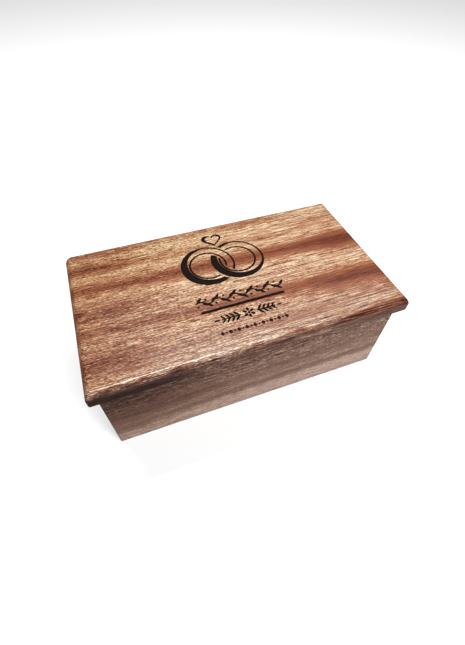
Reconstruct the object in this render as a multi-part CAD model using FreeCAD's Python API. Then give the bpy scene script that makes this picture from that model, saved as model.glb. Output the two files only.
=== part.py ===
"""A hardwood card box: four mitred walls, a captive bottom panel and an engraved lid on two butt hinges.

Millimetres. +X runs along the length, +Y to the rear, +Z up. The origin is the centre of the box's
footprint on the surface it stands on. The lid is modelled closed.
"""

import FreeCAD, Part
import math
import os

from FreeCAD import Vector

# ---------------------------------------------------------------- driving dimensions
LID_LENGTH = 305.0
LID_DEPTH = 173.0
LID_THICKNESS = 14.0
LID_ROUNDOVER = 6.0  # routed along all four top edges
OVERHANG = 6.35  # of the lid past the front and both ends; the rear is flush
BODY_HEIGHT = 95.0
WALL = 12.7
EASE = 0.9  # sanded arrises
LID_CORNERS = (2.0, 2.5, 2.5, 8.0)  # radii in plan, sanded by hand, anticlockwise from the front left
WALL_CORNERS = (1.6, 1.6, 1.6, 1.6)
PARTING_GAP = 0.25  # between the closed lid and the walls

PANEL_THICKNESS = 6.0  # bottom panel
PANEL_RAISE = 6.0  # its groove starts this far above the walls' lower edge
GROOVE_DEPTH = 4.8
GROOVE_SLACK = 0.2  # above the panel, which lies on the groove's lower side
PANEL_EXPANSION = 0.5  # room for the panel to swell, at each edge
FELT_THICKNESS = 1.2
FELT_MARGIN = 0.4
FELT_CORNER = 2.0

SPLINE_THICKNESS = 3.0
SPLINE_REACH = 4.0  # into each wall, square to the mitre
SPLINE_FROM_INSIDE = 7.0  # along the mitre, from the inner corner
GLUE_GAP = 0.05

LID_OPENING = 95.0  # degrees, where the two rear bevels meet
STOP_PLAY = 0.5  # degrees left between each bevel and that meeting
HINGE_LENGTH = 38.0
HINGE_CENTRES = 190.0
HINGE_INSET = 3.0  # of the pin from the rear face
LEAF_WIDTH = 8.0  # from the pin's axis
LEAF_THICKNESS = 1.6
LEAF_CLEARANCE = 0.15  # from the pin's level to each leaf's face
BARREL_RADIUS = 2.5
BARREL_ROOM = 0.35
KNUCKLES = 5
KNUCKLE_GAP = 0.15
PIN_RADIUS = 1.0
PIN_RUNNING_FIT = 0.05
PIN_HEAD_RADIUS = 1.5
PIN_HEAD_HEIGHT = 0.7

SCREW_LENGTH = 9.5
SCREW_RADIUS = 1.1
SCREW_TIP = 2.0
SCREW_HEAD_RADIUS = 2.0
SCREW_SLOT_WIDTH = 0.5
SCREW_SLOT_DEPTH = 0.45
SCREW_FROM_PIN = 5.2
SCREW_SPACING = 12.5
SCREWS_PER_LEAF = 3

ENGRAVING_DEPTH = 0.5
HAIRLINE = 2.1  # the engraving's thin line
STEM = 1.7  # of the vine and the laurel sprigs
HEART_Y = 60.9
HEART_WIDTH = 22.0
RINGS_Y = 24.0
RING_OUTER = 28.0  # radius
RING_INNER = 17.5  # radius
RING_SPREAD = 16.0  # of each ring's centre from the middle
RING_SHADE = 7.2  # the swelling stroke at its widest
RING_SHADE_TOWARDS = 215.0  # degrees from +X
VINE_Y = -23.4
VINE_LENGTH = 88.0
VINE_WAVES = 5
RULE_Y = -35.0
RULE_LENGTH = 84.0
RULE_WIDTH = 3.2
LAURELS_Y = -47.8
LAURELS_LENGTH = 68.0
BEADS_Y = -63.0
BEADS_LENGTH = 70.0

# ---------------------------------------------------------------- places worked out from them
LID_HALF_LENGTH = LID_LENGTH / 2
LID_FRONT = -LID_DEPTH / 2
REAR = LID_DEPTH / 2
LID_UNDERSIDE = BODY_HEIGHT + PARTING_GAP
LID_TOP = LID_UNDERSIDE + LID_THICKNESS
BODY_HALF_LENGTH = LID_HALF_LENGTH - OVERHANG
BODY_FRONT = LID_FRONT + OVERHANG
INNER_HALF_LENGTH = BODY_HALF_LENGTH - WALL
INNER_FRONT = BODY_FRONT + WALL
INNER_REAR = REAR - WALL
PANEL_TOP = PANEL_RAISE + PANEL_THICKNESS
PIN_Y = REAR - HINGE_INSET
PIN_Z = BODY_HEIGHT + PARTING_GAP / 2
BEVEL = math.radians(LID_OPENING / 2 + STOP_PLAY)
FAR = 500.0  # longer than anything here, for cutters and half spaces
TOLERANCE = 0.01  # when edges are picked by where they lie

X_AXIS = Vector(1, 0, 0)
Z_AXIS = Vector(0, 0, 1)


# ---------------------------------------------------------------- small tools
def block(x0, x1, y0, y1, z0, z1):
    """A box between two corners."""
    return Part.makeBox(x1 - x0, y1 - y0, z1 - z0, Vector(x0, y0, z0))


def rod(radius, start, axis, length):
    """A round bar from start along axis."""
    return Part.makeCylinder(radius, length, start, axis)


def rounded_rectangle(x0, x1, y0, y1, radius):
    """A face in the XY plane with four round corners."""
    plain = Part.makePlane(x1 - x0, y1 - y0, Vector(x0, y0, 0))
    prism = plain.extrude(Z_AXIS)
    uprights = [edge for edge in prism.Edges if edge.Vertexes[0].Z != edge.Vertexes[1].Z]
    rounded = prism.makeFillet(radius, uprights)
    return min(rounded.Faces, key=lambda face: face.CenterOfMass.z)


def softened_block(x0, x1, y0, y1, z0, z1, top, bottom, corners):
    """A box with rounded top, bottom and upright edges, the upright ones anticlockwise from (x0, y0)."""
    sides = [(-1, -1), (1, -1), (1, 1), (-1, 1)]
    middle = Vector((x0 + x1) / 2, (y0 + y1) / 2, (z0 + z1) / 2)
    document = FreeCAD.newDocument()
    plain = document.addObject("Part::Feature", "plain")
    plain.Shape = block(x0, x1, y0, y1, z0, z1)
    rounds = []
    for number, edge in enumerate(plain.Shape.Edges, 1):
        away = edge.CenterOfMass - middle
        if abs(away.z) < TOLERANCE:
            radius = corners[sides.index((math.copysign(1, away.x), math.copysign(1, away.y)))]
        else:
            radius = top if away.z > 0 else bottom
        rounds.append((number, radius, radius))
    fillet = document.addObject("Part::Fillet", "softened")
    fillet.Base = plain
    fillet.Edges = rounds
    document.recompute()
    return fillet.Shape.Solids[0]


def prism_along_x(points, x0, x1):
    """A solid with this outline of (y, z) points, from x0 to x1."""
    wire = Part.makePolygon([Vector(x0, y, z) for y, z in points + points[:1]])
    return Part.Face(wire).extrude(Vector(x1 - x0, 0, 0))


# ---------------------------------------------------------------- rear bevels and hinge seats
def rear_bevel(side):
    """The wood cut away behind the pin so the lid can lean back, on the walls (side -1) or the lid (1)."""
    rise = FAR * math.tan(BEVEL)
    points = [(PIN_Y, PIN_Z), (PIN_Y + FAR, PIN_Z), (PIN_Y + FAR, PIN_Z + side * rise)]
    return prism_along_x(points, -FAR, FAR)


def hinge_places():
    """The X of each hinge's middle, left first."""
    return {"left": -HINGE_CENTRES / 2, "right": HINGE_CENTRES / 2}


def leaf_levels(side):
    """The lower and upper Z of a leaf: side is -1 for the walls' leaf, 1 for the lid's."""
    near = PIN_Z + side * LEAF_CLEARANCE
    far = near + side * LEAF_THICKNESS
    return min(near, far), max(near, far)


def hinge_seat(x, side):
    """The mortise for a leaf and the channel for the barrel."""
    low, high = leaf_levels(side)
    half = HINGE_LENGTH / 2 + GLUE_GAP
    if side < 0:
        high = BODY_HEIGHT + FAR
    else:
        low = LID_UNDERSIDE - FAR
    mortise = block(x - half, x + half, PIN_Y - LEAF_WIDTH - GLUE_GAP, PIN_Y, low, high)
    room = HINGE_LENGTH / 2 + PIN_HEAD_HEIGHT + BARREL_ROOM
    channel = rod(BARREL_RADIUS + BARREL_ROOM, Vector(x - room, PIN_Y, PIN_Z), X_AXIS, 2 * room)
    return mortise.fuse(channel)


def screw_places(x):
    """Where a leaf's screws stand, as (x, y)."""
    middle = (SCREWS_PER_LEAF - 1) / 2
    return [(x + (i - middle) * SCREW_SPACING, PIN_Y - SCREW_FROM_PIN) for i in range(SCREWS_PER_LEAF)]


def screw_blank(x, y, side):
    """A countersunk screw with no slot, its head in a leaf: it points down (side -1) or up (1)."""
    axis = Vector(0, 0, side)
    face = PIN_Z + side * LEAF_CLEARANCE
    cone = SCREW_HEAD_RADIUS - SCREW_RADIUS
    head = Part.makeCone(SCREW_HEAD_RADIUS, SCREW_RADIUS, cone, Vector(x, y, face), axis)
    shank_length = SCREW_LENGTH - cone - SCREW_TIP
    shank = rod(SCREW_RADIUS, Vector(x, y, face + side * cone), axis, shank_length)
    tip_at = face + side * (cone + shank_length)
    tip = Part.makeCone(SCREW_RADIUS, SCREW_RADIUS / 5, SCREW_TIP, Vector(x, y, tip_at), axis)
    return head.fuse([shank, tip]).removeSplitter()


def slotted(blank, x, y, side, turn):
    """The same screw with its driver slot, turned by so many degrees."""
    face = PIN_Z + side * LEAF_CLEARANCE
    half = SCREW_SLOT_WIDTH / 2
    low, high = sorted((face - side * SCREW_SLOT_DEPTH, face + side * SCREW_SLOT_DEPTH))
    slot = block(-SCREW_HEAD_RADIUS * 2, SCREW_HEAD_RADIUS * 2, -half, half, low, high)
    slot.rotate(Vector(0, 0, 0), Z_AXIS, turn)
    slot.translate(Vector(x, y, 0))
    return blank.cut(slot)


# ---------------------------------------------------------------- box body
def on_inner_rim(vertex):
    """Whether a corner of the shape lies on the cavity's upper edge."""
    level = abs(vertex.Z - BODY_HEIGHT) < TOLERANCE
    within_x = abs(vertex.X) < INNER_HALF_LENGTH + TOLERANCE
    return level and within_x and INNER_FRONT - TOLERANCE < vertex.Y < INNER_REAR + TOLERANCE


def wall_ring():
    """All four walls as one ring, with the panel groove, the rear bevel and the hinge seats cut."""
    ring = softened_block(
        -BODY_HALF_LENGTH, BODY_HALF_LENGTH, BODY_FRONT, REAR, 0, BODY_HEIGHT, EASE, EASE, WALL_CORNERS
    )
    cavity = block(-INNER_HALF_LENGTH, INNER_HALF_LENGTH, INNER_FRONT, INNER_REAR, -1, BODY_HEIGHT + 1)
    ring = ring.cut(cavity)
    inner_rim = [edge for edge in ring.Edges if all(on_inner_rim(vertex) for vertex in edge.Vertexes)]
    ring = ring.makeFillet(EASE, inner_rim)
    groove = block(
        -INNER_HALF_LENGTH - GROOVE_DEPTH,
        INNER_HALF_LENGTH + GROOVE_DEPTH,
        INNER_FRONT - GROOVE_DEPTH,
        INNER_REAR + GROOVE_DEPTH,
        PANEL_RAISE,
        PANEL_TOP + GROOVE_SLACK,
    )
    ring = ring.cut(groove).cut(rear_bevel(-1))
    seats = [hinge_seat(x, -1) for x in hinge_places().values()]
    holes = [screw_blank(sx, sy, -1) for x in hinge_places().values() for sx, sy in screw_places(x)]
    return ring.cut(seats).cut(holes)


def corners():
    """Each corner's name, its inner corner's place and the way outwards along the mitre."""
    return {
        "front_left": (-INNER_HALF_LENGTH, INNER_FRONT, -1, -1),
        "front_right": (INNER_HALF_LENGTH, INNER_FRONT, 1, -1),
        "rear_left": (-INNER_HALF_LENGTH, INNER_REAR, -1, 1),
        "rear_right": (INNER_HALF_LENGTH, INNER_REAR, 1, 1),
    }


def corner_spline(x, y, out_x, out_y, slack):
    """The loose tongue across one mitre, or its slot where slack is negative."""
    along = Vector(out_x, out_y, 0).normalize()
    across = Vector(-along.y, along.x, 0)
    start = Vector(x, y, 0) + along * (SPLINE_FROM_INSIDE + slack)
    depth = along * (SPLINE_THICKNESS - 2 * slack)
    reach = across * (SPLINE_REACH - slack)
    wire = Part.makePolygon(
        [start - reach, start + reach, start + reach + depth, start - reach + depth, start - reach]
    )
    return Part.Face(wire).extrude(Vector(0, 0, BODY_HEIGHT))


def mitre_wedges():
    """For each wall, the space between its two mitres, as a prism."""
    outer = {
        "front_left": Vector(-BODY_HALF_LENGTH - WALL, BODY_FRONT - WALL, 0),
        "front_right": Vector(BODY_HALF_LENGTH + WALL, BODY_FRONT - WALL, 0),
        "rear_left": Vector(-BODY_HALF_LENGTH - WALL, REAR + WALL, 0),
        "rear_right": Vector(BODY_HALF_LENGTH + WALL, REAR + WALL, 0),
    }
    inner = {name: Vector(x, y, 0) for name, (x, y, _, _) in corners().items()}
    sides = {
        "front_wall": ("front_left", "front_right"),
        "right_wall": ("front_right", "rear_right"),
        "rear_wall": ("rear_right", "rear_left"),
        "left_wall": ("rear_left", "front_left"),
    }
    wedges = {}
    for name, (a, b) in sides.items():
        wire = Part.makePolygon([outer[a], outer[b], inner[b], inner[a], outer[a]])
        prism = Part.Face(wire).extrude(Vector(0, 0, BODY_HEIGHT + 2))
        prism.translate(Vector(0, 0, -1))
        wedges[name] = prism
    return wedges


def walls_and_splines():
    ring = wall_ring()
    slots = [corner_spline(*corner, -GLUE_GAP) for corner in corners().values()]
    bevel = rear_bevel(-1)
    made = {}
    for name, wedge in mitre_wedges().items():
        made[name] = ring.common(wedge).cut(slots)
    for name, corner in corners().items():
        made[f"{name}_spline"] = corner_spline(*corner, 0).cut(bevel)
    return made


def bottom_panel():
    reach = GROOVE_DEPTH - PANEL_EXPANSION
    return block(
        -INNER_HALF_LENGTH - reach,
        INNER_HALF_LENGTH + reach,
        INNER_FRONT - reach,
        INNER_REAR + reach,
        PANEL_RAISE,
        PANEL_TOP,
    )


def felt_lining():
    face = rounded_rectangle(
        -INNER_HALF_LENGTH + FELT_MARGIN,
        INNER_HALF_LENGTH - FELT_MARGIN,
        INNER_FRONT + FELT_MARGIN,
        INNER_REAR - FELT_MARGIN,
        FELT_CORNER,
    )
    face.translate(Vector(0, 0, PANEL_TOP))
    return face.extrude(Vector(0, 0, FELT_THICKNESS))


# ---------------------------------------------------------------- engraving, drawn on the XY plane
def disc(x, y, radius):
    return Part.Face(Part.Wire(Part.makeCircle(radius, Vector(x, y, 0))))


def ring_face(x, y, outer, inner):
    return disc(x, y, outer).cut(disc(x, y, inner))


def crescent(x, y, outer, thickness, towards):
    """A stroke with two pointed ends that is thickest on the side that faces the angle towards."""
    trim = 0.4  # keeps the two ends from running out into slivers
    shift = (thickness + trim) / 2
    a = math.radians(towards)
    inner = disc(x - shift * math.cos(a), y - shift * math.sin(a), outer - shift + trim)
    return disc(x, y, outer).cut(inner)


def leaf(x, y, length, width, angle):
    """A pointed leaf whose stalk end is at (x, y)."""
    base, tip = Vector(0, 0, 0), Vector(length, 0, 0)
    upper = Part.Arc(base, Vector(length / 2, width / 2, 0), tip).toShape()
    lower = Part.Arc(tip, Vector(length / 2, -width / 2, 0), base).toShape()
    face = Part.Face(Part.Wire([upper, lower]))
    face.rotate(base, Z_AXIS, angle)
    face.translate(Vector(x, y, 0))
    return face


def ribbon(line, width):
    """A band of this width along a line of (x, y) points, which is smoothed into a curve."""
    points = [Vector(x, y, 0) for x, y in line]
    normals = []
    for i, _ in enumerate(points):
        way = points[min(i + 1, len(points) - 1)] - points[max(i - 1, 0)]
        normals.append(Vector(-way.y, way.x, 0).normalize() * (width / 2))
    upper, lower = Part.BSplineCurve(), Part.BSplineCurve()
    upper.interpolate([p + n for p, n in zip(points, normals)])
    lower.interpolate([p - n for p, n in zip(points, normals)])
    ends = [
        Part.makeLine(points[i] + normals[i], points[i] - normals[i]) for i in (0, len(points) - 1)
    ]
    edges = Part.sortEdges([upper.toShape(), lower.toShape(), *ends])[0]
    return Part.Face(Part.Wire(edges))


def heart(x, y, width):
    """The usual heart curve, with its notch at the top, about (x, y)."""
    scale = width / 32
    steps = 48
    points = []
    for i in range(steps + 1):
        t = 2 * math.pi * i / steps
        u = 16 * math.sin(t) ** 3
        v = 13 * math.cos(t) - 5 * math.cos(2 * t) - 2 * math.cos(3 * t) - math.cos(4 * t)
        points.append(Vector(x + scale * u, y + scale * v, 0))
    halves = []
    for part in (points[: steps // 2 + 1], points[steps // 2 :]):
        curve = Part.BSplineCurve()
        curve.interpolate(part)
        halves.append(curve.toShape())
    return Part.Face(Part.Wire(halves))


def wedding_rings():
    """Two linked rings, each with a thin line on both edges and a swelling stroke between them."""
    crossing = HAIRLINE * 0.7  # bare wood left beside the ring that passes over
    reach = 2 * RING_OUTER
    faces = []
    for side in (-1, 1):
        x = side * RING_SPREAD
        strokes = [
            ring_face(x, RINGS_Y, RING_OUTER, RING_OUTER - HAIRLINE),
            ring_face(x, RINGS_Y, RING_INNER + HAIRLINE, RING_INNER),
            crescent(x, RINGS_Y, RING_OUTER - HAIRLINE / 2, RING_SHADE, RING_SHADE_TOWARDS),
        ]
        # The left ring passes over at the top, the right one at the bottom.
        band = ring_face(-x, RINGS_Y, RING_OUTER + crossing, RING_INNER - crossing)
        half_start = RINGS_Y if side > 0 else RINGS_Y - reach
        half = Part.makePlane(2 * reach, reach, Vector(-reach, half_start, 0))
        over = band.common(half)
        ring = strokes[0].fuse(strokes[1:])
        faces.append(ring.cut(over))
    return faces


def heart_outline():
    """A heart drawn with a stroke that is heavy on the left and fine on the right."""
    hollow = 0.70 * HEART_WIDTH
    off_centre = 0.04 * HEART_WIDTH
    return [heart(0, HEART_Y, HEART_WIDTH).cut(heart(off_centre, HEART_Y, hollow))]


def vine():
    """A waving stem with two leaves and a berry at each crest."""
    swing = 2.0
    leaf_length, leaf_width, leaf_lean = 7.0, 3.0, 42
    berry_radius, berry_drop, back = 1.25, 3.5, 2.3
    steps = 14 * VINE_WAVES
    line = []
    for i in range(steps + 1):
        t = i / steps
        line.append((VINE_LENGTH * (t - 0.5), VINE_Y + swing * math.sin(2 * math.pi * VINE_WAVES * t)))
    faces = [ribbon(line, STEM)]
    crests = 2 * VINE_WAVES
    for i in range(crests):
        side = 1 if i % 2 == 0 else -1
        x = VINE_LENGTH * ((i + 0.5) / crests - 0.5)
        crest = VINE_Y + side * swing
        faces.append(leaf(x - back, crest, leaf_length, leaf_width, side * leaf_lean))
        faces.append(leaf(x + back, VINE_Y + side * swing / 3, leaf_length, leaf_width, -side * leaf_lean))
        faces.append(disc(x - back, VINE_Y - side * berry_drop, berry_radius))
    return faces


def rule():
    """The straight bar across the middle."""
    corner = Vector(-RULE_LENGTH / 2, RULE_Y - RULE_WIDTH / 2, 0)
    return [Part.makePlane(RULE_LENGTH, RULE_WIDTH, corner)]


def rosette():
    """Six petals round an eye."""
    petals, petal_length, petal_width, eye_radius = 6, 4.6, 3.0, 1.4
    faces = [disc(0, LAURELS_Y, eye_radius)]
    for i in range(petals):
        angle = 360 * (i + 0.5) / petals
        a = math.radians(angle)
        start_x, start_y = 1.2 * eye_radius * math.cos(a), 1.2 * eye_radius * math.sin(a)
        faces.append(leaf(start_x, LAURELS_Y + start_y, petal_length, petal_width, angle))
    return faces


def laurels():
    """A rosette with a sprig of paired leaves to each side of it."""
    pairs, first, first_size, last_size = 4, 9.0, 8.0, 6.2
    leaf_shape, lean, end_leaf = 0.32, 48, 6.6  # width to length, degrees from the stem, mm
    reach = LAURELS_LENGTH / 2
    pitch = (reach - end_leaf - first) / pairs
    faces = rosette()
    for side in (-1, 1):
        outwards = 0 if side > 0 else 180
        faces.append(ribbon([(side * (first - 1 + i * pitch), LAURELS_Y) for i in range(pairs + 1)], STEM))
        for i in range(pairs):
            x = side * (first + i * pitch)
            size = first_size + (last_size - first_size) * i / (pairs - 1)
            for turn in (-lean, lean):
                faces.append(leaf(x, LAURELS_Y, size, size * leaf_shape, outwards + side * turn))
        tip_start = side * (reach - end_leaf)
        faces.append(leaf(tip_start, LAURELS_Y, end_leaf, end_leaf * leaf_shape, outwards))
    return faces


def beads():
    """A row of lozenges with a dot between each two."""
    lozenges, half_width, half_height, dot_radius = 9, 2.2, 2.6, 1.05
    pitch = BEADS_LENGTH / lozenges
    faces = []
    for i in range(lozenges):
        x = (i - (lozenges - 1) / 2) * pitch
        tips = [(x - half_width, 0), (x, -half_height), (x + half_width, 0), (x, half_height)]
        points = [Vector(u, BEADS_Y + v, 0) for u, v in tips + tips[:1]]
        faces.append(Part.Face(Part.makePolygon(points)))
        if i:
            faces.append(disc(x - pitch / 2, BEADS_Y, dot_radius))
    return faces


def engraving_cutters():
    """Every engraved shape as a short prism that reaches into the lid's top."""
    cutters = []
    for face in heart_outline() + wedding_rings() + vine() + rule() + laurels() + beads():
        for piece in face.Faces:
            prism = piece.extrude(Vector(0, 0, 2 * ENGRAVING_DEPTH))
            prism.translate(Vector(0, 0, LID_TOP - ENGRAVING_DEPTH))
            cutters.append(prism)
    return cutters


# ---------------------------------------------------------------- lid
def lid_board():
    board = softened_block(
        -LID_HALF_LENGTH,
        LID_HALF_LENGTH,
        LID_FRONT,
        REAR,
        LID_UNDERSIDE,
        LID_TOP,
        LID_ROUNDOVER,
        EASE,
        LID_CORNERS,
    )
    board = board.cut(rear_bevel(1))
    seats = [hinge_seat(x, 1) for x in hinge_places().values()]
    holes = [screw_blank(sx, sy, 1) for x in hinge_places().values() for sx, sy in screw_places(x)]
    return board.cut(seats).cut(holes).cut(engraving_cutters())


# ---------------------------------------------------------------- hinges
def knuckle_spans(x):
    """Each knuckle's two ends along X, left first."""
    pitch = (HINGE_LENGTH + KNUCKLE_GAP) / KNUCKLES
    start = x - HINGE_LENGTH / 2
    return [(start + i * pitch, start + (i + 1) * pitch - KNUCKLE_GAP) for i in range(KNUCKLES)]


def hinge_leaf(x, side):
    """One leaf with its knuckles: the walls' leaf (side -1) has the first, third and last of them."""
    low, high = leaf_levels(side)
    plate = block(x - HINGE_LENGTH / 2, x + HINGE_LENGTH / 2, PIN_Y - LEAF_WIDTH, PIN_Y, low, high)
    mine = 0 if side < 0 else 1
    bore = PIN_RADIUS if side < 0 else PIN_RADIUS + PIN_RUNNING_FIT
    spans = knuckle_spans(x)
    for index, (a, b) in enumerate(spans):
        if index % 2 != mine:
            room = rod(
                BARREL_RADIUS + BARREL_ROOM,
                Vector(a - KNUCKLE_GAP, PIN_Y, PIN_Z),
                X_AXIS,
                b - a + 2 * KNUCKLE_GAP,
            )
            plate = plate.cut(room)
    for index, (a, b) in enumerate(spans):
        if index % 2 == mine:
            plate = plate.fuse(rod(BARREL_RADIUS, Vector(a, PIN_Y, PIN_Z), X_AXIS, b - a))
    plate = plate.cut(rod(bore, Vector(x - HINGE_LENGTH, PIN_Y, PIN_Z), X_AXIS, 2 * HINGE_LENGTH))
    return plate.cut([screw_blank(sx, sy, side) for sx, sy in screw_places(x)])


def hinge_pin(x):
    """A pin with a low domed head at each end."""
    half = HINGE_LENGTH / 2
    pin = rod(PIN_RADIUS, Vector(x - half, PIN_Y, PIN_Z), X_AXIS, HINGE_LENGTH)
    dome_radius = (PIN_HEAD_RADIUS**2 + PIN_HEAD_HEIGHT**2) / (2 * PIN_HEAD_HEIGHT)
    for side in (-1, 1):
        face = x + side * half
        dome = Part.makeSphere(
            dome_radius, Vector(face + side * (PIN_HEAD_HEIGHT - dome_radius), PIN_Y, PIN_Z)
        )
        keep = sorted((face, face + side * 2 * PIN_HEAD_HEIGHT))
        keep = block(*keep, PIN_Y - FAR, PIN_Y + FAR, PIN_Z - FAR, PIN_Z + FAR)
        pin = pin.fuse(dome.common(keep))
    return pin


def leaf_screws(x, side):
    """A leaf's screws, as separate solids in one group."""
    screws = []
    for index, (sx, sy) in enumerate(screw_places(x)):
        turn = 20 + 50 * index + 15 * side
        screws.append(slotted(screw_blank(sx, sy, side), sx, sy, side, turn))
    return Part.makeCompound(screws)


def hinges():
    made = {}
    for name, x in hinge_places().items():
        made[f"{name}_hinge_wall_leaf"] = hinge_leaf(x, -1)
        made[f"{name}_hinge_lid_leaf"] = hinge_leaf(x, 1)
        made[f"{name}_hinge_pin"] = hinge_pin(x)
        made[f"{name}_hinge_wall_screws"] = leaf_screws(x, -1)
        made[f"{name}_hinge_lid_screws"] = leaf_screws(x, 1)
    return made


# ---------------------------------------------------------------- write every piece
def main():
    pieces = {
        **walls_and_splines(),
        "bottom_panel": bottom_panel(),
        "felt_lining": felt_lining(),
        "lid_board": lid_board(),
        **hinges(),
    }
    os.makedirs("parts", exist_ok=True)
    for name, shape in pieces.items():
        solids = [solid for solid in shape.Solids if solid.Volume > 0]
        good = all(solid.isValid() for solid in solids)
        print(f"{name:26s} solids {len(solids)}  valid {good}  volume {shape.Volume / 1000:8.3f} cm3")
        Part.makeCompound(solids).exportStep(f"parts/{name}.step")


main()
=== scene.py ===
"""The wedding card box's looks: lacquered ribboned wood, a scorched engraving, brass hinges and a felt sheet.

Metres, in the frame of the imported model. Sizes inside the patterns of the wood, brass and felt are in
millimetres, because their coordinates are divided by MM first.
"""

import math

import bpy
from mathutils import Matrix, Vector


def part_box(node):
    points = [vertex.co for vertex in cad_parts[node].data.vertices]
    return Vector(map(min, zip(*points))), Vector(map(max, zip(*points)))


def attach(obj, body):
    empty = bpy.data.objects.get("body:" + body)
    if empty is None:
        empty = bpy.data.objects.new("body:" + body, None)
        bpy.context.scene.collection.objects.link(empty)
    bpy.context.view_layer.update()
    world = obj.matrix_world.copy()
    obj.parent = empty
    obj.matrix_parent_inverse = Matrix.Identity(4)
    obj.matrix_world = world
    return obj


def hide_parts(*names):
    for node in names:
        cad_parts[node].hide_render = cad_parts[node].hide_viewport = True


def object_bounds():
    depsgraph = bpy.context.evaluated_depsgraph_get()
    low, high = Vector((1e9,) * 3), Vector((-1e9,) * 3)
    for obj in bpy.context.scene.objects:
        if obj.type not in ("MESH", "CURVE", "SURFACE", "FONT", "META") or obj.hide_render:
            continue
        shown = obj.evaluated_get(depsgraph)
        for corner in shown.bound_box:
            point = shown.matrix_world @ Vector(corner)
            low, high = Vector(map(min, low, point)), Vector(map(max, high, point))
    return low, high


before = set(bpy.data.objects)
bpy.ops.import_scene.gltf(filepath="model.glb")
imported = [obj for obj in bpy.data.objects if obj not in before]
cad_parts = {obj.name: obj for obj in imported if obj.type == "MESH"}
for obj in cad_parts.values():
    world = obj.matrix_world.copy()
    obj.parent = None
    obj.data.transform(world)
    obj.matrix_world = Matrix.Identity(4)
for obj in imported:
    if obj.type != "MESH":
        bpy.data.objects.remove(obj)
CAD_LOW, CAD_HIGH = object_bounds()

MM = 0.001
LENGTH, DEPTH, HEIGHT = CAD_HIGH - CAD_LOW
LID_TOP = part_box("lid_board")[1].z

# ------------------------------------------------ camera
CAMERA_PLACE = Vector((-0.3103, -0.7958, 1.2035)) * LENGTH  # in lid lengths from the box's origin
CAMERA_HEADING = math.radians(21.95)  # from +Y towards +X
CAMERA_PITCH = math.radians(51.73)  # below the horizon
CAMERA_ROLL = math.radians(1.79)  # the picture's right side is tipped up
CAMERA_LENS = 20.41  # mm
CAMERA_SENSOR = 36.0  # mm

# ------------------------------------------------ light
WHITE = (1.0, 1.0, 1.0, 1.0)
SKY_GLOW = 0.06
FLOOR_SHADE = 0.29
FLOOR_GLOW = 0.56
FLOOR_REACH = 40.0  # from the middle to each side

# Each light's place, what it faces, length and width, watts, and whether glossy surfaces mirror it.
LIGHTS = {
    "softbox": ((0.02, 0.55, 1.55), (0.02, 0, HEIGHT), (1.20, 0.20), 51.0, True),
    "far_softbox": ((0.65, 0.86, 1.55), (0.65, 0, HEIGHT), (1.50, 0.22), 4.0, True),
    "front_fill": ((0.55, -0.85, 1.15), (0, 0, HEIGHT), (0.60, 0.50), 42.0, False),
}

# ------------------------------------------------ wood
# Colours from dark to light, at tones from 0 to 1.
RIBBON_COLOURS = (
    (0.0, (0.030, 0.007, 0.004)),
    (0.2, (0.088, 0.025, 0.012)),
    (0.4, (0.140, 0.053, 0.026)),
    (0.6, (0.198, 0.106, 0.056)),
    (0.8, (0.262, 0.178, 0.110)),
    (1.0, (0.360, 0.290, 0.205)),
)
WALL_COLOURS = (
    (0.0, (0.014, 0.006, 0.004)),
    (0.25, (0.055, 0.025, 0.017)),
    (0.5, (0.100, 0.050, 0.035)),
    (0.75, (0.160, 0.094, 0.069)),
    (1.0, (0.360, 0.262, 0.214)),
)
CHAR_COLOURS = (
    (0.3, (0.002, 0.0015, 0.0015)),
    (0.75, (0.009, 0.006, 0.005)),
)
PORE_COLOUR = (0.012, 0.005, 0.003, 1.0)
# The wood's colour is multiplied by these where the tint applies.
# The first tint is a painted sheen: the lacquer's gloss on the lid's front, as a paler, pinker colour.
PAINTED_SHEEN_TINT = (0.96, 1.14, 1.30, 1.0)
GOLD_TINT = (1.0, 1.0, 0.89, 1.0)
END_GRAIN_TINT = (0.92, 0.85, 0.81, 1.0)

LID_COAT = 0.5  # share of clear coat
WALL_COAT = 0.05
GRAIN_RELIEF = 0.05  # depth in mm
COAT_RELIEF = 0.03

# Grain patterns: their size in mm along the grain, across it and through the board, detail and roughness.
STREAKS = (80, 0.85, 0.85), 3.0, 0.65
MOTTLE = (7, 5, 5), 2.0, 0.6
FLECKS = (3.0, 0.60, 0.60), 1.0, 0.5
GLINTS = (14.0, 0.60, 0.60), 1.0, 0.5
PORES = (3.0, 0.40, 0.40), 1.0, 0.5

# Tone of the lid's ribbons, 0 dark to 1 light, from the front edge to the rear one, in mm from the middle.
LEFT_RIBBONS = (
    (-86, 0.50), (-80, 0.42), (-74, 0.27), (-68, 0.16), (-62, 0.08), (-56, 0.25), (-50, 0.42), (-44, 0.50),
    (-38, 0.40), (-33, 0.16), (-27, 0.26), (-20, 0.44), (-15, 0.18), (-9, 0.12), (-3, 0.26), (4, 0.42),
    (10, 0.55), (16, 0.36), (21, 0.12), (27, 0.28), (34, 0.56), (40, 0.58), (46, 0.26), (51, 0.02),
    (56, 0.30), (61, 0.46), (66, 0.52), (72, 0.30), (80, 0.22),
)
MIDDLE_RIBBONS = (
    (-86, 0.45), (-78, 0.52), (-71, 0.47), (-65, 0.32), (-59, 0.50), (-50, 0.58), (-42, 0.58), (-36, 0.30),
    (-31, 0.18), (-26, 0.38), (-20, 0.58), (-12, 0.62), (-5, 0.63), (1, 0.70), (7, 0.74), (12, 0.56),
    (18, 0.28), (24, 0.10), (29, 0.36), (36, 0.76), (43, 0.86), (48, 0.54), (53, 0.58), (60, 0.80),
    (67, 0.80), (74, 0.50), (84, 0.40),
)
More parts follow.
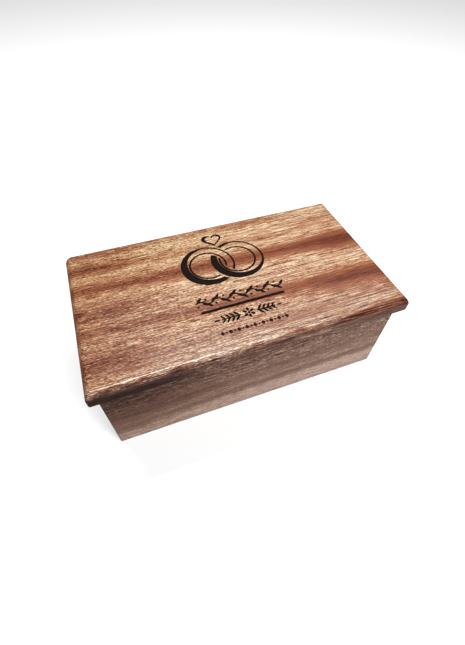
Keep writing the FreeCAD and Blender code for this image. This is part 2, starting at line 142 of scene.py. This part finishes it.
RIGHT_RIBBONS = (
    (-86, 0.25), (-77, 0.33), (-71, 0.41), (-64, 0.48), (-57, 0.47), (-51, 0.43), (-45, 0.32), (-39, 0.20),
    (-34, 0.02), (-28, 0.08), (-22, 0.34), (-16, 0.58), (-9, 0.62), (-3, 0.72), (3, 0.64), (8, 0.46),
    (14, 0.24), (20, 0.04), (26, 0.00), (32, 0.26), (38, 0.52), (44, 0.76), (50, 0.72), (56, 0.46),
    (62, 0.54), (69, 0.58), (76, 0.68),
)

# The same for the front wall, from the table upwards, in mm. These tones also paint the light: lighter along
# the table, and a painted shade under the lid that is darkest in the left set.
FRONT_LEFT_RIBBONS_AND_PAINTED_LIGHT = (
    (0, 0.80), (8, 0.81), (18, 0.78), (25, 0.62), (29, 0.52), (36, 0.60), (44, 0.46), (52, 0.30), (60, 0.33),
    (68, 0.26), (78, 0.12), (88, 0.05),
)
FRONT_RIGHT_RIBBONS_AND_PAINTED_LIGHT = (
    (0, 0.86), (12, 0.92), (22, 0.88), (27, 0.70), (32, 0.59), (38, 0.73), (46, 0.68), (55, 0.56), (62, 0.60),
    (70, 0.56), (78, 0.48), (90, 0.42),
)


# ------------------------------------------------ a short way to build materials
class Nodes:
    """A new material's nodes. Any input may be a number, a colour or another node's output."""

    def __init__(self, name):
        self.material = bpy.data.materials.new(name)
        self.material.use_nodes = True
        self.tree = self.material.node_tree
        self.tree.nodes.clear()

    def add(self, kind, inputs, **settings):
        node = self.tree.nodes.new("ShaderNode" + kind)
        for key, value in settings.items():
            setattr(node, key, value)
        for key, value in inputs.items():
            if isinstance(value, bpy.types.NodeSocket):
                self.tree.links.new(value, node.inputs[key])
            else:
                node.inputs[key].default_value = value
        return node

    def math(self, operation, *values, clamp=False):
        return self.add("Math", dict(enumerate(values)), operation=operation, use_clamp=clamp).outputs[0]

    def product(self, first, *others):
        for other in others:
            first = self.math("MULTIPLY", first, other)
        return first

    def largest(self, first, *others):
        for other in others:
            first = self.math("MAXIMUM", first, other)
        return first

    def linear(self, value, slope, start):
        """slope times value, plus start."""
        return self.math("MULTIPLY_ADD", value, slope, start)

    def range(self, value, low, high, to_low=0.0, to_high=1.0):
        """value between low and high, carried smoothly to between to_low and to_high, and held outside."""
        inputs = {0: value, 1: low, 2: high, 3: to_low, 4: to_high}
        return self.add("MapRange", inputs, interpolation_type="SMOOTHSTEP").outputs[0]

    def mix(self, factor, a, b, blend="MIX"):
        return self.add("Mix", {0: factor, 6: a, 7: b}, data_type="RGBA", blend_type=blend).outputs[2]

    def tint(self, factor, colour, by):
        """colour, multiplied by another where factor is 1."""
        return self.mix(factor, colour, self.mix(1.0, colour, by, "MULTIPLY"))

    def ramp(self, value, stops, interpolation="EASE"):
        """A colour for each value from 0 to 1."""
        node = self.add("ValToRGB", {0: value})
        ramp = node.color_ramp
        ramp.interpolation = interpolation
        for _ in stops[2:]:
            ramp.elements.new(0.5)
        for element, (position, colour) in zip(ramp.elements, stops):
            element.position = position
            element.color = (*colour, 1.0)
        return node.outputs[0]

    def noise(self, place, size, detail=2.0, roughness=0.5):
        """Noise from 0 to 1 whose grains have this size along each axis."""
        shrink = tuple(1 / s for s in size)
        scaled = self.add("VectorMath", {0: place, 1: shrink}, operation="MULTIPLY").outputs[0]
        inputs = {"Vector": scaled, "Scale": 1.0, "Detail": detail, "Roughness": roughness}
        return self.add("TexNoise", inputs, noise_dimensions="3D").outputs["Fac"]

    def bump(self, height, depth_mm):
        return self.add("Bump", {"Height": height, "Strength": 1.0, "Distance": depth_mm * MM}).outputs[0]

    def surface(self, inputs):
        """Ends the tree in a Principled shader with these inputs, and returns the material."""
        shader = self.add("BsdfPrincipled", inputs)
        self.add("OutputMaterial", {"Surface": shader.outputs[0]})
        return self.material


# ------------------------------------------------ where a point is in its board
def board_place(nodes, grain, across, offset):
    """A point's place in mm along the grain, across the board's face and through its thickness.

    It comes as three values and, shifted by offset so that no two boards look alike, as a vector. The plain
    coordinates in metres are the third result.
    """
    where = nodes.add("TexCoord", {}).outputs["Object"]
    axes = nodes.add("SeparateXYZ", {0: where}).outputs
    deep = ({"X", "Y", "Z"} - {grain, across}).pop()
    mm = [nodes.math("MULTIPLY", axes[axis], 1 / MM) for axis in (grain, across, deep)]
    place = nodes.add("CombineXYZ", dict(enumerate(mm))).outputs[0]
    shifted = nodes.add("VectorMath", {0: place, 1: offset}, operation="ADD").outputs[0]
    return mm, shifted, axes


# ------------------------------------------------ ribbons
# Each function whose name ends in _tone gives a board's tone from 0 dark to 1 light, how strongly its fine
# grain shows, and what share of the walls' greyer colours it takes.
def ribbon_stops(ribbons, start, length):
    """Ribbons in mm, as a ramp's stops from 0 to 1."""
    return [((at - start) / length, (tone,) * 3) for at, tone in ribbons]


def ribboned(nodes, place, across, start, length, sets, changes):
    """Sets of ribbons that waver along the board. Each change, from 0 to 1, leads from a set to the next."""
    sway = nodes.linear(nodes.noise(place, (120, 28, 28), 2.0), 7.0, -3.5)
    fray = nodes.linear(nodes.noise(place, (80, 1.5, 1.5), 3.0, 0.6), 4.0, -2.0)
    wavering = nodes.math("ADD", across, nodes.math("ADD", sway, fray))
    position = nodes.linear(wavering, 1 / length, -start / length)
    tone, *others = [nodes.ramp(position, ribbon_stops(ribbons, start, length)) for ribbons in sets]
    for change, other in zip(changes, others):
        tone = nodes.mix(change, tone, other)
    return tone


def lid_ribbons(nodes, x, y, depth, along, place):
    """The lid's ribbons run a little askew and lean as they go down."""
    drift = 0.042
    lean = 0.9
    half = DEPTH / MM / 2
    across = nodes.linear(depth, lean, nodes.linear(x, drift, y))
    changes = nodes.range(along, -120.0, -50.0), nodes.range(along, 50.0, 125.0)
    ribbons = LEFT_RIBBONS, MIDDLE_RIBBONS, RIGHT_RIBBONS
    return ribboned(nodes, place, across, -half, 2 * half, ribbons, changes)


def red_vein(nodes, x, frayed):
    """1 in the dark red vein that comes out of the front edge at the middle and widens to the right."""
    aside = nodes.math("ABSOLUTE", nodes.math("ADD", frayed, nodes.linear(x, 0.035, -3.5)))
    width = nodes.range(x, -40.0, 150.0, 0.8, 6.5)
    inside = nodes.range(nodes.math("DIVIDE", aside, width), 1.3, 0.5)
    return nodes.product(inside, nodes.range(x, -40.0, 5.0))


def front_edge_shade(nodes, x, depth, along, frayed, vein, threads):
    """How much the lid's front edge is darkened: by the vein, at the left end by a nearly black painted shade
    over burred grain, and a little from the middle of its roundover down, on the left half.
    """
    left_end = nodes.range(along, -45.0, -105.0)
    # Painted shade at the left end, nearly black down the front face, over burred grain.
    burr_and_shade = nodes.product(nodes.range(frayed, 1.0, 4.5), left_end, nodes.range(depth, 14.5, 13.0))
    streaked = nodes.product(nodes.range(frayed, -4.0, -1.0), left_end, nodes.linear(threads, 1.1, -0.45))
    edge = nodes.product(nodes.range(frayed, 0.0, 5.0), nodes.range(x, 0.0, 60.0, 0.12, 0.0))
    return nodes.largest(nodes.product(vein, threads), burr_and_shade, streaked, edge)


def below_top(nodes, z):
    """How many mm below the lid's top a point is."""
    return nodes.math("SUBTRACT", LID_TOP / MM, z)


def lid_tone(nodes, mm, place):
    """The lid's ribbons, darkened along the front edge by a red vein and, at the left end, by a painted shade
    over burred grain.
    """
    x, y, z = mm
    depth = below_top(nodes, z)
    patchy = nodes.linear(nodes.noise(place, (60, 12, 12), 1.0), 90.0, -45.0)
    along = nodes.math("ADD", x, patchy)
    tone = lid_ribbons(nodes, x, y, depth, along, place)

    # Round the front edge, fold is how far down the board is, less how far back.
    fold = nodes.math("SUBTRACT", depth, nodes.math("ADD", y, DEPTH / MM / 2))
    frayed = nodes.math("ADD", fold, nodes.linear(nodes.noise(place, (22, 2.0, 2.0), 3.0, 0.6), 9.0, -4.5))
    threads = nodes.range(nodes.noise(place, (34, 0.9, 0.9), 2.0, 0.6), 0.46, 0.54, 0.05, 1.0)
    vein = red_vein(nodes, x, frayed)
    shade = front_edge_shade(nodes, x, depth, along, frayed, vein, threads)
    # The vein and the painted shade at the left end darken the tone.
    tone = nodes.product(tone, nodes.math("SUBTRACT", 1.0, shade))
    tone = nodes.linear(tone, 0.74, nodes.linear(shade, -0.09, 0.08))

    # The left of the board is flecked all over, and the right only where it is light. One strip is calmer.
    calm = nodes.range(x, -100.0, 60.0, 0.95, 0.30)
    from_calm_strip = nodes.math("ABSOLUTE", nodes.math("SUBTRACT", y, 34.0))
    flecking = nodes.product(
        nodes.range(tone, 0.20, 0.60, calm, 1.40),
        nodes.range(depth, 12.0, 13.5, 1.0, 0.6),
        nodes.range(from_calm_strip, 18.0, 32.0, 0.74, 1.0),
        nodes.linear(shade, -0.7, 1.0),
    )

    # The edges and the underside are greyer than the top, and the vein on them half as much.
    greyness = nodes.largest(nodes.range(fold, -6.0, -1.0), nodes.range(depth, 1.0, 5.5))
    return tone, flecking, nodes.product(greyness, nodes.linear(vein, -0.5, 1.0))


def front_tone(nodes, mm, place):
    """The front wall's ribbons, with a painted shade under the lid that is darkest at the left, and painted
    light along the table.
    """
    x, z, _ = mm
    patchy = nodes.linear(nodes.noise(place, (60, 22, 22), 1.0), 80.0, -40.0)
    # From the left set, with its darker painted shade, to the right one.
    share = nodes.range(nodes.math("ADD", x, patchy), -140.0, 10.0)
    ribbons = FRONT_LEFT_RIBBONS_AND_PAINTED_LIGHT, FRONT_RIGHT_RIBBONS_AND_PAINTED_LIGHT
    tone = ribboned(nodes, place, nodes.linear(x, -0.02, z), 0.0, LID_TOP / MM, ribbons, [share])
    return tone, nodes.range(z, 45.0, 90.0, 0.40, 1.15), 1.0


def wall_tone(nodes, mm, place):
    """A plainer board: broad, soft ribbons."""
    broad = nodes.noise(place, (260, 16, 40), 2.0, 0.5)
    fray = nodes.noise(place, (45, 1.8, 1.8), 3.0, 0.6)
    tone = nodes.linear(fray, 0.3, nodes.linear(broad, 1.2, -0.25))
    return nodes.largest(tone, 0.0), 0.6, 1.0


# ------------------------------------------------ wood
def lid_tints(nodes, mm, tone, colour):
    """The lid's front right is paler and pinker where it is light, a painted sheen, and its rear left is
    golden.
    """
    x, y, _ = mm
    # A painted sheen over the lid's front, stronger towards the right.
    pale = nodes.product(
        nodes.range(y, -45.0, -72.0),
        nodes.range(x, -140.0, 60.0, 0.3, 1.0),
        nodes.range(tone, 0.15, 0.60),
    )
    golden = nodes.range(nodes.linear(x, -0.3, y), 0.0, 110.0)
    return nodes.tint(golden, nodes.tint(pale, colour, PAINTED_SHEEN_TINT), GOLD_TINT)


def lid_coat(nodes, mm, end_share, scorch):
    """The coat thins out down the edges and towards the left end, and is burnt away in the engraving."""
    x, _, z = mm
    return nodes.product(
        nodes.range(below_top(nodes, z), 2.5, 7.0, LID_COAT, 0.0),
        nodes.range(x, -152.0, -110.0, 0.5, 1.0),
        nodes.linear(end_share, -0.9, 1.0),
        nodes.math("SUBTRACT", 1.0, scorch),
    )


def engraved_share(nodes, axes):
    """1 below the lid's flat top, within the engraved field, and 0 elsewhere."""
    half_width = 0.16 * LENGTH
    half_height = 0.42 * DEPTH
    sunk = nodes.range(axes["Z"], LID_TOP - 0.03 * MM, LID_TOP - 0.12 * MM)
    shallow = nodes.range(axes["Z"], LID_TOP - 2.0 * MM, LID_TOP - 1.0 * MM)
    within = nodes.math("LESS_THAN", nodes.math("ABSOLUTE", axes["X"]), half_width)
    between = nodes.math("LESS_THAN", nodes.math("ABSOLUTE", axes["Y"]), half_height)
    return nodes.product(sunk, shallow, nodes.product(within, between))


def wood(name, grain, across, offset, tone_of, is_lid=False):
    """Lacquered sapele: ribbons, fine streaks, short dark pores, cross-grain mottle and darker end grain."""
    nodes = Nodes(name)
    mm, place, axes = board_place(nodes, grain, across, offset)
    tone, flecking, greyness = tone_of(nodes, mm, place)

    streaks = nodes.noise(place, *STREAKS)
    mottle = nodes.noise(place, *MOTTLE)
    flecks = nodes.noise(place, *FLECKS)
    glints = nodes.noise(place, *GLINTS)
    pores = nodes.range(nodes.noise(place, *PORES), 0.60, 0.70, 0.0, 0.8)

    # The lid's right half is lined more than flecked.
    lined = nodes.range(mm[0], -30.0, 70.0) if is_lid else 0.0
    fleck_share = nodes.linear(lined, -0.7, 1.6)
    streak_share = nodes.linear(lined, 0.9, 1.0)
    grains = 0.0
    for pattern, share in (flecks, fleck_share), (glints, 1.8), (streaks, streak_share), (mottle, 0.2):
        grains = nodes.linear(nodes.math("SUBTRACT", pattern, 0.5), share, grains)
    lively = nodes.largest(nodes.linear(grains, flecking, tone), 0.0)

    colour = nodes.ramp(lively, RIBBON_COLOURS, "LINEAR")
    if is_lid:
        colour = lid_tints(nodes, mm, lively, colour)
    colour = nodes.mix(greyness, colour, nodes.ramp(lively, WALL_COLOURS, "LINEAR"))
    colour = nodes.mix(pores, colour, nodes.mix(0.75, colour, PORE_COLOUR))

    facing = nodes.add("TexCoord", {}).outputs["Normal"]
    end_on = nodes.math("ABSOLUTE", nodes.add("SeparateXYZ", {0: facing}).outputs[grain])
    end_share = nodes.range(end_on, 0.05, 0.50)
    colour = nodes.tint(end_share, colour, END_GRAIN_TINT)

    relief = nodes.linear(flecks, 0.8, nodes.product(streaks, 0.5))
    relief = nodes.linear(pores, -1.0, relief)
    roughness = nodes.linear(mottle, 0.16, 0.40)
    roughness = nodes.linear(pores, 0.15, roughness)

    coat = WALL_COAT
    if is_lid:
        scorch = engraved_share(nodes, axes)
        coat = lid_coat(nodes, mm, end_share, scorch)
        raster = nodes.noise(place, (1.6, 0.3, 0.3), 2.0, 0.6)
        colour = nodes.mix(scorch, colour, nodes.ramp(raster, CHAR_COLOURS))
        roughness = nodes.math("MULTIPLY_ADD", scorch, 0.4, roughness, clamp=True)
        relief = nodes.linear(nodes.product(raster, scorch), 1.2, relief)

    return nodes.surface({
        "Base Color": colour,
        "Roughness": roughness,
        "Normal": nodes.bump(relief, GRAIN_RELIEF),
        "IOR": 1.5,
        "Specular IOR Level": 0.02,
        "Coat Weight": coat,
        "Coat Roughness": 0.10,
        "Coat IOR": 1.5,
        "Coat Normal": nodes.bump(relief, COAT_RELIEF),
    })


# ------------------------------------------------ brass and felt
def brass(name, offset, roughness):
    """Drawn brass: fine lines along its length and a light, uneven tarnish."""
    nodes = Nodes(name)
    _, place, _ = board_place(nodes, "X", "Y", offset)
    lines = nodes.noise(place, (9, 0.12, 0.12), 2.0, 0.6)
    tarnish = nodes.noise(place, (3.5, 3.5, 3.5), 3.0, 0.6)
    colour = nodes.ramp(tarnish, ((0.3, (0.50, 0.33, 0.12)), (0.7, (0.83, 0.62, 0.28))))
    rough = nodes.linear(tarnish, -0.2, roughness + 0.1)
    return nodes.surface({
        "Base Color": colour,
        "Metallic": 0.7,
        "Roughness": nodes.linear(lines, 0.12, rough),
        "Normal": nodes.bump(lines, 0.01),
    })


def felt_material():
    """Pressed wool: matted fibres, a soft sheen and a little lint."""
    nodes = Nodes("felt")
    _, place, _ = board_place(nodes, "X", "Y", (0, 0, 0))
    mat_fibres = nodes.noise(place, (0.55, 0.55, 0.55), 5.0, 0.75)
    clumps = nodes.noise(place, (7, 7, 7), 3.0, 0.6)
    lint = nodes.range(nodes.noise(place, (2.6, 0.16, 0.5), 1.0), 0.70, 0.76, 0.0, 0.5)
    colour = nodes.ramp(mat_fibres, ((0.3, (0.012, 0.010, 0.010)), (0.7, (0.055, 0.047, 0.044))))
    cloudy = nodes.ramp(clumps, ((0.3, (0.75, 0.75, 0.75)), (0.7, (1.25, 1.22, 1.2))))
    colour = nodes.mix(1.0, colour, cloudy, "MULTIPLY")
    return nodes.surface({
        "Base Color": nodes.mix(lint, colour, (0.20, 0.18, 0.17, 1.0)),
        "Roughness": 0.95,
        "Specular IOR Level": 0.15,
        "Sheen Weight": 0.35,
        "Sheen Roughness": 0.5,
        "Sheen Tint": (0.55, 0.50, 0.48, 1.0),
        "Normal": nodes.bump(nodes.linear(clumps, 2.0, mat_fibres), 0.16),
    })


# ------------------------------------------------ pieces
def dress(material, *nodes):
    """Gives CAD nodes this material."""
    for node in nodes:
        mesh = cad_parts[node].data
        mesh.materials.clear()
        mesh.materials.append(material)


def dress_frame():
    dress(wood("lid_wood", "X", "Y", (0, 0, 0), lid_tone, is_lid=True), "lid_board")
    boards = {
        "front_wall": ("X", "Z", (310, 40, 11), front_tone),
        "rear_wall": ("X", "Z", (-520, 95, 30), wall_tone),
        "left_wall": ("Y", "Z", (150, 40, 70), wall_tone),
        "right_wall": ("Y", "Z", (-90, 140, 20), wall_tone),
        "bottom_panel": ("X", "Y", (900, 300, 50), wall_tone),
    }
    for name, (grain, across, offset, tone_of) in boards.items():
        dress(wood(name + "_wood", grain, across, offset, tone_of), name)
    splines = [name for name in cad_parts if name.endswith("_spline")]
    dress(wood("spline_wood", "Z", "X", (20, 400, 80), wall_tone), *splines)
    plates = [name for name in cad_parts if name.endswith(("_leaf", "_pin"))]
    dress(brass("hinge_brass", (0, 0, 0), 0.24), *plates)
    screws = [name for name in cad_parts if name.endswith("_screws")]
    dress(brass("screw_brass", (50, 20, 0), 0.30), *screws)


def felt_sheet():
    """The lining: a felt sheet with rounded corners that lies on the bottom panel, faintly uneven."""
    low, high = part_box("felt_lining")
    columns = 140
    rows = 74
    corner = 2.0 * MM
    unevenness = 0.10 * MM
    vertices = []
    for j in range(rows + 1):
        for i in range(columns + 1):
            x = low.x + (high.x - low.x) * i / columns
            y = low.y + (high.y - low.y) * j / rows
            # The four corners' points are drawn in to a quarter circle.
            cx = min(max(x, low.x + corner), high.x - corner)
            cy = min(max(y, low.y + corner), high.y - corner)
            away = Vector((x - cx, y - cy))
            if away.length > corner:
                away *= corner / away.length
            dip = unevenness * (1 + math.sin(31 * x + 7 * y) * math.sin(53 * y - 11 * x)) / 2
            vertices.append((cx + away.x, cy + away.y, high.z - dip))
    faces = []
    for j in range(rows):
        for i in range(columns):
            a = j * (columns + 1) + i
            faces.append((a, a + 1, a + columns + 2, a + columns + 1))
    mesh = bpy.data.meshes.new("felt_sheet")
    mesh.from_pydata(vertices, [], faces)
    mesh.shade_smooth()
    sheet = bpy.data.objects.new("felt_sheet", mesh)
    bpy.context.scene.collection.objects.link(sheet)
    thicken = sheet.modifiers.new("thickness", "SOLIDIFY")
    thicken.thickness = high.z - low.z - unevenness
    thicken.offset = -1.0
    mesh.materials.append(felt_material())
    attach(sheet, "case")
    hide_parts("felt_lining")


# ------------------------------------------------ studio
def make_camera():
    """A camera at the place, heading, pitch and roll given above."""
    forward = Vector((
        math.sin(CAMERA_HEADING) * math.cos(CAMERA_PITCH),
        math.cos(CAMERA_HEADING) * math.cos(CAMERA_PITCH),
        -math.sin(CAMERA_PITCH),
    ))
    level_right = forward.cross(Vector((0, 0, 1))).normalized()
    level_up = level_right.cross(forward)
    right = level_right * math.cos(CAMERA_ROLL) + level_up * math.sin(CAMERA_ROLL)
    up = right.cross(forward)
    data = bpy.data.cameras.new("camera")
    data.lens = CAMERA_LENS
    data.sensor_width = CAMERA_SENSOR
    data.clip_start = 0.01
    camera = bpy.data.objects.new("camera", data)
    turn = Matrix((right, up, -forward)).transposed().to_4x4()
    camera.matrix_world = Matrix.Translation(CAMERA_PLACE) @ turn
    bpy.context.scene.collection.objects.link(camera)
    bpy.context.scene.camera = camera


def area_light(name, place, target, size, watts, mirrored):
    """A rectangular light that faces target. Glossy surfaces show it only if it is mirrored."""
    data = bpy.data.lights.new(name, "AREA")
    data.shape = "RECTANGLE"
    data.size, data.size_y = size
    data.energy = watts
    light = bpy.data.objects.new(name, data)
    light.location = place
    light.visible_glossy = mirrored
    light.rotation_euler = (Vector(target) - Vector(place)).to_track_quat("-Z", "Y").to_euler()
    bpy.context.scene.collection.objects.link(light)


def make_floor():
    """A wide, pale table that glows a little of its own."""
    mesh = bpy.data.meshes.new("floor")
    corners = [(x * FLOOR_REACH, y * FLOOR_REACH, 0) for x, y in ((-1, -1), (1, -1), (1, 1), (-1, 1))]
    mesh.from_pydata(corners, [], [(0, 1, 2, 3)])
    nodes = Nodes("floor")
    mesh.materials.append(nodes.surface({
        "Base Color": (FLOOR_SHADE, FLOOR_SHADE, FLOOR_SHADE, 1.0),
        "Roughness": 1.0,
        "Specular IOR Level": 0.0,
        "Emission Color": WHITE,
        "Emission Strength": FLOOR_GLOW,
    }))
    floor = bpy.data.objects.new("floor", mesh)
    bpy.context.scene.collection.objects.link(floor)


def make_sky():
    """A dim sky that is seen as a backdrop of the far floor's shade."""
    world = bpy.data.worlds.new("sky")
    world.use_nodes = True
    tree = world.node_tree
    seen = tree.nodes.new("ShaderNodeLightPath").outputs["Is Camera Ray"]
    strength = tree.nodes.new("ShaderNodeMath")
    strength.operation = "MULTIPLY_ADD"
    tree.links.new(seen, strength.inputs[0])
    strength.inputs[1].default_value = FLOOR_GLOW + (FLOOR_SHADE - 1) * SKY_GLOW
    strength.inputs[2].default_value = SKY_GLOW
    tree.nodes["Background"].inputs["Color"].default_value = WHITE
    tree.links.new(strength.outputs[0], tree.nodes["Background"].inputs["Strength"])
    bpy.context.scene.world = world


def make_studio():
    """A glowing table, a long softbox overhead to the rear, a faint one to its right and a front fill."""
    make_floor()
    make_sky()
    for name, settings in LIGHTS.items():
        area_light(name, *settings)
    bpy.context.scene.view_settings.view_transform = "Standard"


dress_frame()
felt_sheet()
make_camera()
make_studio()
